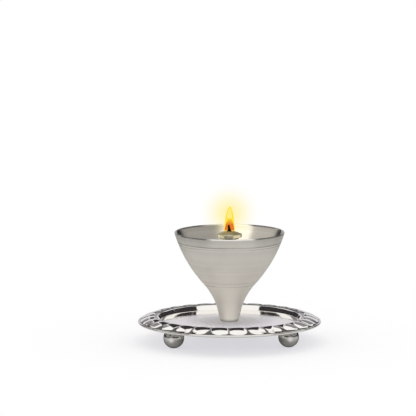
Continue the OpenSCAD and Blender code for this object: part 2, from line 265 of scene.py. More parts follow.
def lathe(profile, steps, middle=(0.0, 0.0)):
    """Surface of a profile of radii and heights turned round an upright axis; its last row is its first."""
    turn = np.linspace(0, 2 * np.pi, steps, endpoint=False)[:, None]
    radius, height = profile[:, 0], profile[:, 1]
    grid = np.stack([middle[0] + radius * np.cos(turn), middle[1] + radius * np.sin(turn),
                     np.broadcast_to(height, (steps, len(height)))], axis=-1)
    return np.concatenate([grid, grid[:1]])


def closed(profile):
    """A profile with its first point repeated at its end."""
    return np.concatenate([profile, profile[:1]])


def surface(name, grids, sharp=35.0):
    """Joins grids of points into one mesh object.

    Each grid gives a quad for each of its cells. Points that share a place are welded, which closes seams
    and poles, and a quad that a pole pinches becomes a triangle. Edges past the sharp angle stay hard.
    """
    weld = 1e-7
    quads, start = [], 0
    for grid in grids:
        index = start + np.arange(grid.shape[0] * grid.shape[1]).reshape(grid.shape[:2])
        cells = np.stack([index[:-1, :-1], index[1:, :-1], index[1:, 1:], index[:-1, 1:]], axis=-1)
        quads.append(cells.reshape(-1, 4))
        start += index.size
    points = np.concatenate([grid.reshape(-1, 3) for grid in grids])
    keys = np.round(points / weld).astype(np.int64)
    _, first, place = np.unique(keys, axis=0, return_index=True, return_inverse=True)
    quads = place.reshape(-1)[np.concatenate(quads)]
    pinched = quads == np.roll(quads, -1, axis=1)
    count = pinched.sum(axis=1)
    corners = quads[count == 1][~pinched[count == 1]].reshape(-1, 3)
    mesh = bpy.data.meshes.new(name)
    mesh.from_pydata(points[first], [], quads[count == 0].tolist() + corners.tolist())
    shell = bmesh.new()
    shell.from_mesh(mesh)
    bmesh.ops.recalc_face_normals(shell, faces=shell.faces)
    shell.to_mesh(mesh)
    shell.free()
    mesh.shade_smooth()
    mesh.set_sharp_from_angle(angle=math.radians(sharp))
    made = bpy.data.objects.new(name, mesh)
    bpy.context.scene.collection.objects.link(made)
    return made


def lobe_reach(tray):
    """Distances from the crest, across the border, at which the lobes start and end.

    They start past the lap, and end a third of the rolled edge short of its middle.
    """
    return 2 * tray.crest_lap, tray.border_width - tray.roll / 2 - tray.roll / 3


def tray_surface(tray):
    """Grid of the whole tray: a profile of the sheet, carried round, whose border swells into lobes.

    Out is the distance from the crest across the border, and part the share of the way from one valley to
    the next. The slope falls by a power of out. A lobe adds its height times an arch of q, which is 0 along
    the ridge and 1 at the lobe's edge: the square of the place across the lobe plus that of the place in
    its ends.
    """
    half = tray.sheet / 2
    slope = math.degrees(tray.wall_slope)
    crest_z = FLOOR_Z + tray.crest_rise
    roll_r = (tray.diameter - tray.roll) / 2
    crest_r = tray.diameter / 2 - tray.border_width
    bends = tray.floor_bend + tray.crest_bend
    wall_rise = tray.crest_rise - bends * (1 - math.cos(tray.wall_slope))
    flat_r = crest_r - bends * math.sin(tray.wall_slope) - wall_rise / math.tan(tray.wall_slope)
    run = roll_r - crest_r
    lobe_start, lobe_end = lobe_reach(tray)
    bend_mid = (flat_r, UNDER_Z + half + tray.floor_bend)
    crest_mid = (crest_r, crest_z - half - tray.crest_bend)
    roll_mid = (roll_r, crest_z - tray.border_fall)
    fall = tray.border_fall - tray.roll / 4

    rise = lobe_start + tray.lobe_tip * np.linspace(0, 1, 14) ** 1.5
    ridge = np.linspace(lobe_start + tray.lobe_tip, lobe_end - tray.lobe_toe, 14)[1:-1]
    toe = lobe_end - tray.lobe_toe * np.linspace(1, 0, 10) ** 1.3
    outs = np.concatenate([[lobe_start / 3, 2 * lobe_start / 3], rise, ridge, toe])
    slope_z = crest_z - fall * (outs / run) ** tray.border_bow
    border = np.stack([crest_r + outs, slope_z], axis=1)
    drop = tray.sheet / math.cos(math.atan(tray.border_fall / run))

    hole_r = tray.screw_hole / 2
    upper = np.concatenate([straight((hole_r, FLOOR_Z), (flat_r, FLOOR_Z), 10),
                            arc(bend_mid, tray.floor_bend - half, -90, slope - 90, 7),
                            arc(crest_mid, tray.crest_bend + half, 90 + slope, 90, 12)])
    # Directions in which the slope's upper and lower side meet the rolled edge
    upper_meets, lower_meets = 146, -150
    rolled = arc(roll_mid, tray.roll / 2, upper_meets, lower_meets, 22)
    lower = np.concatenate([arc(crest_mid, tray.crest_bend - half, 90, 90 + slope, 6),
                            arc(bend_mid, tray.floor_bend + half, slope - 90, -90, 7),
                            straight((flat_r, UNDER_Z), (hole_r, UNDER_Z), 10), [(hole_r, UNDER_Z)]])
    inner_outs = outs[outs < lobe_end - half][::-1]
    under = border[outs < lobe_end - half][::-1] - (0, drop)
    profile = closed(np.concatenate([upper, border, rolled, under, lower]))

    steps = 18
    part = (1 - np.cos(np.pi * np.arange(steps) / steps)) / 2
    turn = (np.arange(tray.lobes)[:, None] + part).reshape(-1) * 2 * np.pi / tray.lobes
    turn = turn + tray.lobe_turn - np.pi / 2
    part = np.tile(part, tray.lobes)[:, None]

    def swelling(out):
        """Height of the lobes at places across the border, for each place round it."""
        tip = np.maximum(0, 1 - (out - lobe_start) / tray.lobe_tip)
        end = np.maximum(0, 1 - (lobe_end - out) / tray.lobe_toe)
        q = np.minimum(1, (2 * part - 1) ** 2 + tip ** 2 + end ** 2)
        flank = math.sqrt(1 - tray.lobe_round)
        return tray.lobe_height * (np.sqrt(1 - tray.lobe_round * q) - flank) / (1 - flank)

    height = np.repeat(profile[None, :, 1], len(turn), axis=0)
    at = len(upper)
    height[:, at:at + len(outs)] += swelling(outs)
    at += len(outs) + len(rolled)
    height[:, at:at + len(inner_outs)] += swelling(inner_outs)
    reach, turn = profile[:, 0], turn[:, None]
    grid = np.stack([reach * np.cos(turn), reach * np.sin(turn), height], axis=-1)
    return np.concatenate([grid, grid[:1]])


def foot_surface(foot, middle):
    """Ball turned round its own axis, with a flat below, a flat and a bore above."""
    radius = foot.diameter / 2
    ball_z = math.sqrt(radius ** 2 - (foot.flat / 2) ** 2)
    low = math.degrees(math.asin(-ball_z / radius))
    high = math.degrees(math.acos(foot.seat / foot.diameter))
    bore_r = foot.bore / 2
    profile = np.concatenate([[(0, 0)], arc((0, ball_z), radius, low, high, 60),
                              [(bore_r, UNDER_Z), (bore_r, UNDER_Z - foot.bore_depth),
                               (0, UNDER_Z - foot.bore_depth)]])
    return lathe(profile, 96, middle)


def cup_points(cup):
    """Points of the cup's outline at its rim, seam and top of the neck, and the lean at the seam."""
    rim = (cup.rim / 2, SEAM_Z + cup.bowl_height)
    seam = (cup.seam / 2, SEAM_Z)
    neck = (cup.neck / 2, FLOOR_Z + cup.neck_height)
    return rim, seam, neck, 2 * chord_lean(rim, seam) - cup.rim_lean


def bowl_side(cup):
    """Length of the bowl's side along its arc, from the rim to the seam."""
    rim, seam, _, _ = cup_points(cup)
    half_turn = chord_lean(rim, seam) - cup.rim_lean
    return math.dist(rim, seam) * half_turn / math.sin(half_turn)


def scribe_places(cup):
    """Places of the two scribed lines along the bowl's side, from the rim."""
    return cup.scribe_drop + cup.scribe_pitch * np.arange(2)


def scribe_heights(cup):
    """Heights of the two scribed lines."""
    rim, seam, _, _ = cup_points(cup)
    return leaning_arc(rim, seam, cup.rim_lean, scribe_places(cup) / bowl_side(cup))[:, 1]


def bowl_surface(cup):
    """Spun bowl turned from one arc inside and out, with a round lip and two scribed lines.

    A scribed line is a round hollow: its depth falls off with the square of the distance from its middle.
    """
    rim, seam, _, seam_lean = cup_points(cup)
    side, scribes = bowl_side(cup), scribe_places(cup)
    near = np.linspace(-0.6, 0.6, 13) * cup.scribe_width
    even = np.linspace(0, side - cup.seam_bevel, 60)
    along = np.unique(np.concatenate([even, *(scribes[:, None] + near)]))
    hollow = sum(np.maximum(0, 1 - (2 * (along - s) / cup.scribe_width) ** 2) for s in scribes)
    outer = leaning_arc(rim, seam, cup.rim_lean, along / side, cup.scribe_depth * hollow)
    inner = leaning_arc(rim, seam, cup.rim_lean, np.linspace(1, 0, 60), cup.wall)
    lip_middle = leaning_arc(rim, seam, cup.rim_lean, np.array([0.0]), cup.wall / 2)[0]
    lean = math.degrees(cup.rim_lean)
    lip = arc(lip_middle, cup.wall / 2, 180 - lean, -lean, 12)[1:-1]
    spigot_r = cup.seam / 2 - cup.wall / math.cos(seam_lean)
    lower = [(cup.seam / 2 - cup.seam_bevel, SEAM_Z), (spigot_r, SEAM_Z)]
    return lathe(closed(np.concatenate([lip, outer, lower, inner])), 192)


def stem_surface(cup):
    """Turned stem: a hollow arc down to a tapered neck, an oil well in its top and a tapped hole below."""
    _, seam, neck, seam_lean = cup_points(cup)
    neck_lean = 2 * chord_lean(seam, neck) - seam_lean
    foot_r = cup.neck / 2 - cup.neck_height * math.tan(neck_lean)
    spigot_r = cup.seam / 2 - cup.wall / math.cos(seam_lean) - cup.joint_gap
    well_z, tapped_r = LEDGE_Z - cup.well_depth, cup.tapped / 2
    toe_mid = (foot_r - cup.neck_round, FLOOR_Z + cup.neck_round)
    profile = np.concatenate([
        [(0, well_z), (cup.well_floor / 2, well_z), (spigot_r - cup.ledge, LEDGE_Z), (spigot_r, LEDGE_Z),
         (spigot_r, SEAM_Z), (cup.seam / 2 - cup.seam_bevel, SEAM_Z)],
        leaning_arc(seam, neck, seam_lean, np.linspace(cup.seam_bevel / math.dist(seam, neck), 1, 48)),
        arc(toe_mid, cup.neck_round, -math.degrees(neck_lean), -90, 10),
        [(tapped_r, FLOOR_Z), (tapped_r, FLOOR_Z + cup.tapped_depth), (0, FLOOR_Z + cup.tapped_depth)]])
    return lathe(profile, 144)


def base_surface(holder):
    """Perforated disc: each sector's outline is joined to its oil hole by a sheet, above and below.

    A sector's outline runs along the bore, out along one edge, back round the rim and in along the other
    edge. Each of its points is paired with the point of the oil hole in the same direction.
    """
    half = np.pi / holder.holes
    bore_r, rim_r = holder.tube / 2 + holder.fit_gap, holder.base / 2
    edge_steps, arc_steps = 16, 24
    rim_start = arc_steps + edge_steps
    edge = np.linspace(bore_r, rim_r, edge_steps)
    swing = np.linspace(-half, half, arc_steps)
    ways = np.concatenate([swing, np.full(edge_steps, half), swing[::-1], np.full(edge_steps, -half)])
    reach = np.concatenate([np.full(arc_steps, bore_r), edge, np.full(arc_steps, rim_r), edge[::-1]])
    outline = np.stack([reach * np.cos(ways), reach * np.sin(ways)], axis=1)
    middle = np.array([holder.hole_circle / 2, 0.0])
    towards = outline - middle
    hole = middle + holder.hole / 2 * towards / np.linalg.norm(towards, axis=1)[:, None]
    low, high = LEDGE_Z, LEDGE_Z + holder.base_thickness

    def raised(points, z):
        """Flat points at a height."""
        return np.column_stack([points, np.full(len(points), z)])

    sheet = np.stack([raised(outline, low), raised(hole, low), raised(hole, high), raised(outline, high)])
    walls = [np.stack([raised(outline[part], low), raised(outline[part], high)])
             for part in (slice(0, arc_steps), slice(rim_start, rim_start + arc_steps))]
    grids = []
    for turn in 2 * half * np.arange(holder.holes):
        cos, sin = math.cos(turn), math.sin(turn)
        spin = np.array([[cos, sin, 0], [-sin, cos, 0], [0, 0, 1]])
        grids += [grid @ spin for grid in (sheet, *walls)]
    return grids


def tube_surface(holder):
    """Plain tube with four slots near its foot: their cells are left out, and their edges get walls."""
    outer, inner = holder.tube / 2, holder.bore / 2
    slot_low = LEDGE_Z + holder.base_thickness + holder.slot_rise
    slot_high = slot_low + holder.slot_height
    slot_half = math.asin(holder.slot_width / holder.tube)
    heights = [LEDGE_Z, slot_low, slot_high, TUBE_TOP_Z]

    def strip(turn, *edges):
        """Strip between two rings, each given by its radius and height."""
        return np.stack([ring(turn, radius, z) for radius, z in edges])

    grids = []
    for quarter in np.arange(4) * np.pi / 2:
        slot = np.linspace(-slot_half, slot_half, 7) + quarter
        solid = np.linspace(slot_half, np.pi / 2 - slot_half, 19) + quarter
        for turn, rows in ((slot, (0, 2)), (solid, (0, 1, 2))):
            for row in rows:
                grids += [strip(turn, (radius, heights[row]), (radius, heights[row + 1]))
                          for radius in (outer, inner)]
        for turn, levels in ((slot, heights), (solid, heights[::3])):
            grids += [strip(turn, (outer, z), (inner, z)) for z in levels]
        for way in (slot[:1], slot[-1:]):
            grids.append(np.stack([np.concatenate([ring(way, radius, z) for z in (slot_low, slot_high)])
                                   for radius in (outer, inner)]))
    return grids


def cap_surface(holder):
    """Flanged cap turned from its outline: cone, upright edge, shoulder, tube socket and wick hole."""
    flange_r, collar_r = holder.flange / 2, holder.collar / 2
    hole_r, socket_r = holder.wick_hole / 2, holder.tube / 2 + holder.fit_gap
    flange_z = COLLAR_Z - holder.cone_height - holder.flange_height
    cone_turn = math.pi / 2 - math.atan(holder.cone_height / (flange_r - collar_r))
    upper_z = flange_z + holder.flange_height - holder.flange_round * math.tan(cone_turn / 2)
    round_r = flange_r - holder.flange_round
    soft = holder.soft_edge
    profile = np.concatenate([
        arc((hole_r + soft, COLLAR_Z - soft), soft, 180, 90, 5),
        [(collar_r - soft, COLLAR_Z), (collar_r, COLLAR_Z - soft / 3)],
        arc((round_r, upper_z), holder.flange_round, math.degrees(cone_turn), 0, 7),
        arc((round_r, flange_z + holder.flange_round), holder.flange_round, 0, -90, 7),
        [(holder.shoulder / 2, flange_z), (holder.shoulder / 2, SHOULDER_Z + soft),
         (holder.shoulder / 2 - soft, SHOULDER_Z), (socket_r, SHOULDER_Z), (socket_r, TUBE_TOP_Z),
         (hole_r, TUBE_TOP_Z)]])
    return lathe(closed(profile), 128)


def wick_surface(wick):
    """Twisted wick: rings round a line that is upright in the holder and leans above it.

    The radius has one arch for each strand, which turns with height by the lay. Above the cap the wick
    tapers, and its strands open and curl with two slow waves.
    """
    tip_z, open_z = COLLAR_Z + wick.tip_height, COLLAR_Z - 1 * MM
    # Waves turn by this many radians in a metre of height, and curl and groove are shares of the radius
    slow_wave, quick_wave, curl, groove, taper = 900, 2100, 0.12, 0.2, 3
    z = np.concatenate([straight(WICK_FOOT_Z, open_z, 240), np.linspace(open_z, tip_z, 60)])[:, None]
    turn = np.linspace(0, 2 * np.pi, 48, endpoint=False)
    above = np.clip((z - COLLAR_Z) / wick.tip_height, 0, 1)
    twist = 2 * np.pi * z / wick.lay
    strand = np.abs(np.cos(wick.strands / 2 * (turn - twist)))
    body = wick.tip / 2 + (wick.diameter - wick.tip) / 2 * np.exp(-taper * above)
    ragged = curl * above * (np.sin(2 * turn + slow_wave * z) + np.sin(5 * turn - quick_wave * z))
    radius = body * (1 - groove + groove * strand) * (1 + ragged) / (1 + 2 * curl * above)
    last = np.sqrt(np.clip((tip_z - z) / (wick.tip / 2), 0, 1))
    radius = radius * np.minimum(1, last)
    lean = -math.tan(wick.tip_lean) * np.maximum(0, z - COLLAR_Z)
    grid = np.stack(np.broadcast_arrays(lean + radius * np.cos(turn), radius * np.sin(turn), z), axis=-1)
    foot = np.broadcast_to([0.0, 0.0, WICK_FOOT_Z], grid[:1].shape)
    grid = np.concatenate([foot, grid]).swapaxes(0, 1)
    return np.concatenate([grid, grid[:1]])


def seat(piece, material, body, slot, node, mirrored=False):
    """Gives a piece its finish and its body, and hides the frame's node that it stands for. Its slot is not
    used.

    The tray's spun floor is too streaked to show what stands on it, so only its own parts are mirrored.
    """
    piece.data.materials.append(material)
    piece.visible_glossy = mirrored
    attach(piece, body)
    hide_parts(node)


def add(tree, kind, links=None, **settings):
    """Adds a shader node with its settings, and gives each named input a value or a link.

    A link is a socket, or a node, whose first output in use is meant.
    """
    made = tree.nodes.new("ShaderNode" + kind)
    for key, value in settings.items():
        setattr(made, key, value)
    for socket, value in (links or {}).items():
        if isinstance(value, bpy.types.Node):
            value = next(output for output in value.outputs if not output.is_unavailable)
        if isinstance(value, bpy.types.NodeSocket):
            tree.links.new(value, made.inputs[socket])
        else:
            made.inputs[socket].default_value = value
    return made


def blank(name):
    """A new material without nodes, and its node tree."""
    material = bpy.data.materials.new(name)
    material.use_nodes = True
    material.node_tree.nodes.clear()
    return material, material.node_tree


def per_metre(millimetres):
    """Scale of a noise pattern whose features are about this far apart."""
    return 1 / (millimetres * MM)


def toned(values, part=1.0):
    """A colour at a share of its brightness, with full alpha."""
    return (*(min(1.0, part * value) for value in values), 1.0)


def between_lobes(tree, tray, place, radius):
    """Node that is 1 along the valleys between the lobes, where tarnish and a painted dark reflection lie,
    and 0 on the lobes.

    As in tray_surface, q is the square of the place across a lobe plus that of the place in its ends, of
    which the outer one counts for less.
    """
    crest_r = tray.diameter / 2 - tray.border_width
    start_r, end_r = (crest_r + reach for reach in lobe_reach(tray))
    parts = add(tree, "SeparateXYZ", {"Vector": place}).outputs
    turn = add(tree, "Math", {0: parts["Y"], 1: parts["X"]}, operation="ARCTAN2")
    turn = add(tree, "Math", {0: turn, 1: math.pi / 2 - tray.lobe_turn}, operation="ADD")
    part = add(tree, "Math", {0: turn, 1: tray.lobes / (2 * math.pi)}, operation="MULTIPLY")
    part = add(tree, "Math", {0: part, 1: 0.5}, operation="PINGPONG")
    across = add(tree, "MapRange", {"Value": part, "From Max": 0.5, "To Min": 1.0, "To Max": 0.0})
    across = add(tree, "Math", {0: across, 1: 2.0}, operation="POWER")
    # Towards some of the toes the tarnish and the painted dark reflection spread wider
    uneven = add(tree, "TexNoise", {"Vector": place, "Scale": per_metre(11), "Detail": 1.0})
    uneven = add(tree, "MapRange", {"Value": uneven, "From Min": 0.42, "From Max": 0.58,
                                    "To Min": 1.0, "To Max": 2.0})
    toe = add(tree, "MapRange", {"Value": radius, "From Min": end_r - 3 * tray.lobe_toe,
                                 "From Max": end_r - tray.lobe_toe / 2})
    spread = add(tree, "Mix", {"Factor": toe, "A": 1.0, "B": uneven})
    q = add(tree, "Math", {0: across, 1: spread}, operation="MULTIPLY")
    for end, ridge, weight in ((start_r, start_r + tray.lobe_tip, 1.0),
                               (end_r, end_r - tray.lobe_toe, 0.86)):
        along = add(tree, "MapRange", {"Value": radius, "From Min": ridge, "From Max": end})
        along = add(tree, "Math", {0: along, 1: 2.0}, operation="POWER")
        q = add(tree, "Math", {0: along, 1: weight, 2: q}, operation="MULTIPLY_ADD")
    held = add(tree, "MapRange", {"Value": q, "From Min": 0.74, "From Max": 0.96})
    # There is none inside the crest or on the rolled edge
    begun = add(tree, "MapRange", {"Value": radius, "From Min": crest_r - 1.6 * tray.sheet,
                                   "From Max": crest_r - 0.8 * tray.sheet})
    ended = add(tree, "MapRange", {"Value": radius, "From Min": end_r, "From Max": end_r + tray.roll / 4,
                                   "To Min": 1.0, "To Max": 0.0})
    held = add(tree, "Math", {0: held, 1: begun}, operation="MULTIPLY")
    return add(tree, "Math", {0: held, 1: ended}, operation="MULTIPLY")


# Polished nickel plate: pressed sheet, buffed to a mirror, with the fine rings of the spinning chuck left
# on its floor. The eye sees sharp reflections on the lobes and slightly streaked ones on the floor.
def polished_nickel(colours, tray):
    material, tree = blank("polished_nickel_plate")
    place = add(tree, "TexCoord").outputs["Object"]
    flat = add(tree, "VectorMath", {0: place, 1: (1, 1, 0)}, operation="MULTIPLY")
    radius = add(tree, "VectorMath", {0: flat}, operation="LENGTH")
    edge_r = tray.diameter / 2
    floor_r = edge_r - tray.border_width - tray.floor_bend - tray.crest_bend
    floor = add(tree, "MapRange", {"Value": radius, "From Min": floor_r, "From Max": floor_r - 1 * MM})
    # Rings are about 0.3 mm apart on such a sheet, and are drawn at 0.9 mm, or they would not show
    rings = add(tree, "TexNoise", {"W": radius, "Scale": per_metre(0.9), "Detail": 2.0},
                noise_dimensions="1D")
    streak = add(tree, "MapRange", {"Value": rings, "From Min": 0.3, "From Max": 0.7,
                                    "To Min": 0.9, "To Max": 1.2})
    # The floor is dullest round the stem, where it is hard to polish
    dull = add(tree, "MapRange", {"Value": radius, "From Min": 12 * MM, "From Max": 34 * MM,
                                  "To Min": 0.34, "To Max": 0.09})
    spun = add(tree, "Math", {0: dull, 1: streak}, operation="MULTIPLY")
    wiped = add(tree, "TexNoise", {"Vector": place, "Scale": per_metre(9), "Detail": 3.0})
    polish = add(tree, "MapRange", {"Value": wiped, "From Min": 0.35, "From Max": 0.7,
                                    "To Min": 0.05, "To Max": 0.09})
    rough = add(tree, "Mix", {"Factor": floor, "A": polish, "B": spun})
    grooves = add(tree, "Math", {0: rings, 1: floor}, operation="MULTIPLY")
    bump = add(tree, "Bump", {"Strength": 0.12, "Distance": 0.02 * MM, "Height": grooves})
    # The rolled edge is painted darker than the rest, a painted shade for the duller reflection it shows
    rolled = add(tree, "MapRange", {"Value": radius, "From Min": edge_r - tray.roll,
                                    "From Max": edge_r - 0.7 * tray.roll})
    base = toned(colours.polished)
    # Tarnish with a painted dark reflection darkens the valleys between the lobes
    for amount, part in ((rolled, 0.8), (between_lobes(tree, tray, place, radius), 0.12)):
        base = add(tree, "Mix", {"Factor": amount, "A": base, "B": toned(colours.polished, part)},
                   data_type="RGBA")
    shader = add(tree, "BsdfPrincipled", {"Base Color": base, "Metallic": 1.0, "Roughness": rough,
                                          "Normal": bump})
    add(tree, "OutputMaterial", {"Surface": shader})
    return material


def dirt_and_shade_in_lines(tree, cup, base, height, patchy_outside, dirt_and_shade):
    """Colour darkened in the scribed lines, with dirt in the seam and a tool mark above it, and a thin
    painted shade under the lip.
    """
    first_z, second_z = scribe_heights(cup)
    rim_z, mark_z, line = SEAM_Z + cup.bowl_height, SEAM_Z + 2.3 * MM, 0.26 * MM
    # Middle and half of the height of each mark, and how dark it makes the colour; the last is painted
    # shade
    marks = ((first_z, line, 0.7), (second_z, line, 0.3), (SEAM_Z, line, 0.35), (mark_z, line, 0.2),
             ((rim_z + first_z) / 2, (rim_z - first_z) / 2, 0.15))
    for level, half, amount in marks:
        within = add(tree, "Math", {0: height, 1: level, 2: half}, operation="COMPARE")
        held = add(tree, "Math", {0: within, 1: patchy_outside}, operation="MULTIPLY")
        held = add(tree, "Math", {0: held, 1: amount}, operation="MULTIPLY")
        base = add(tree, "Mix", {"Factor": held, "A": base, "B": dirt_and_shade}, data_type="RGBA")
    return base


def painted_reflection_on_lip(tree, cup, parts, outside, lip):
    """Node for a painted dark reflection on the lip, and a thin painted shade under it: four arcs, with
    gaps towards the front, back and sides.
    """
    rim_r, rim_z, first_z = cup.rim / 2, SEAM_Z + cup.bowl_height, scribe_heights(cup)[0]
    under = add(tree, "Math", {0: parts["Z"], 1: (rim_z + first_z) / 2, 2: (rim_z - first_z) / 2},
                operation="COMPARE")
    under = add(tree, "Math", {0: under, 1: outside}, operation="MULTIPLY")
    under = add(tree, "Math", {0: under, 1: 0.15, 2: lip}, operation="MULTIPLY_ADD", use_clamp=True)
    # The painted reflection and shade are strongest towards the four diagonals
    quarter = add(tree, "Math", {0: parts["X"], 1: parts["Y"]}, operation="MULTIPLY")
    quarter = add(tree, "Math", {0: quarter}, operation="ABSOLUTE")
    painted_dark_reflection = add(tree, "MapRange", {"Value": quarter, "From Min": 0.33 * rim_r ** 2,
                                   "From Max": 0.42 * rim_r ** 2, "To Max": 0.8})
    return add(tree, "Math", {0: painted_dark_reflection, 1: under}, operation="MULTIPLY")


# Satin nickel plate: turned on a lathe and brushed round the axis before plating. The eye sees a soft warm
# grey with fine level lines, a little darker towards its edges.
def satin_nickel(colours, cup):
    material, tree = blank("satin_nickel_plate")
    rim_z = SEAM_Z + cup.bowl_height
    place = add(tree, "TexCoord").outputs["Object"]
    parts = add(tree, "SeparateXYZ", {"Vector": place}).outputs
    height = parts["Z"]
    flat = add(tree, "VectorMath", {0: place, 1: (1, 1, 0)}, operation="MULTIPLY")
    facing = add(tree, "VectorMath", {0: flat, 1: add(tree, "NewGeometry").outputs["Normal"]},
                 operation="DOT_PRODUCT")
    outside = add(tree, "Math", {0: facing, 1: 0.0}, operation="GREATER_THAN")
    # Tool lines are about 0.1 mm apart, and are drawn at 0.7 mm, or they would not show
    lines = add(tree, "TexNoise", {"W": height, "Scale": per_metre(0.7), "Detail": 3.0},
                noise_dimensions="1D")
    bands = add(tree, "TexNoise", {"W": height, "Scale": per_metre(5), "Detail": 1.0},
                noise_dimensions="1D")
    tone = add(tree, "Mix", {"Factor": 0.5, "A": lines, "B": bands})
    # The stem and the lower bowl are painted brighter than the rest of the bowl, a painted light that grows
    # towards the neck
    painted_light_on_stem = add(tree, "MapRange", {"Value": height, "From Min": SEAM_Z + 24 * MM,
                                    "From Max": SEAM_Z - 4 * MM, "To Max": 0.55})
    tone = add(tree, "Math", {0: tone, 1: painted_light_on_stem}, operation="ADD", use_clamp=True)
    dark, light, dirt_and_shade = (toned(colours.satin, part) for part in (0.8, 1.1, 0.16))
    base = add(tree, "Mix", {"Factor": tone, "A": dark, "B": light}, data_type="RGBA")
    # The scribed lines and the seam are darkened, and round the foot of the neck a painted shade lies where
    # it meets the tray
    worn = add(tree, "TexNoise", {"Vector": place, "Scale": per_metre(14), "Detail": 4.0})
    broken = add(tree, "MapRange", {"Value": worn, "From Min": 0.35, "From Max": 0.6,
                                    "To Min": 0.55, "To Max": 1.0})
    patchy_outside = add(tree, "Math", {0: broken, 1: outside}, operation="MULTIPLY")
    base = dirt_and_shade_in_lines(tree, cup, base, height, patchy_outside, dirt_and_shade)
    # Painted shade round the foot of the neck
    foot = add(tree, "MapRange", {"Value": height, "From Min": FLOOR_Z + 2.4 * MM,
                                  "From Max": FLOOR_Z + 0.4 * MM, "To Max": 0.65})
    # The lip is polished to a shine, and a painted dark reflection lies on it
    lip = add(tree, "MapRange", {"Value": height, "From Min": rim_z - 0.35 * MM,
                                 "From Max": rim_z - 0.15 * MM})
    soot_and_dark_reflection = painted_reflection_on_lip(tree, cup, parts, outside, lip)
    for amount, values in ((foot, dirt_and_shade), (lip, toned(colours.polished)), (soot_and_dark_reflection, dirt_and_shade)):
        base = add(tree, "Mix", {"Factor": amount, "A": base, "B": values}, data_type="RGBA")
    # The inside is burnished, and the outside brushed, which dulls its sheen at a grazing angle
    smooth = add(tree, "Mix", {"Factor": outside, "A": 0.19, "B": 0.6})
    brushed = add(tree, "MapRange", {"Value": worn, "From Min": 0.3, "From Max": 0.7,
                                     "To Min": 0.94, "To Max": 1.06})
    brushed = add(tree, "Math", {0: brushed, 1: smooth}, operation="MULTIPLY")
    rough = add(tree, "Mix", {"Factor": lip, "A": brushed, "B": 0.14})
    bump = add(tree, "Bump", {"Strength": 0.3, "Distance": 0.015 * MM, "Height": lines})
    shader = add(tree, "BsdfPrincipled", {"Base Color": base, "Metallic": 1.0, "Roughness": rough,
                                          "Specular Tint": (0.6, 0.6, 0.6, 1.0), "Normal": bump})
    add(tree, "OutputMaterial", {"Surface": shader})
    return material


# Satin steel: tumbled balls. The eye sees a darker grey than the plate, with a blurred highlight and edges
# that darken.
def satin_steel(colours):
    material, tree = blank("tumbled_steel")
    place = add(tree, "TexCoord").outputs["Object"]
    grain = add(tree, "TexNoise", {"Vector": place, "Scale": per_metre(0.8), "Detail": 4.0})
    cloud = add(tree, "TexNoise", {"Vector": place, "Scale": per_metre(6), "Detail": 3.0})
    base = add(tree, "Mix", {"Factor": cloud, "A": toned(colours.steel, 0.8), "B": toned(colours.steel)},
               data_type="RGBA")
    rough = add(tree, "MapRange", {"Value": grain, "From Min": 0.3, "From Max": 0.7,
                                   "To Min": 0.17, "To Max": 0.25})
    bump = add(tree, "Bump", {"Strength": 0.06, "Distance": 0.01 * MM, "Height": grain})
    shader = add(tree, "BsdfPrincipled", {"Base Color": base, "Metallic": 1.0, "Roughness": rough,
                                          "Specular Tint": (0.12, 0.12, 0.12, 1.0), "Normal": bump})
    add(tree, "OutputMaterial", {"Surface": shader})
    return material


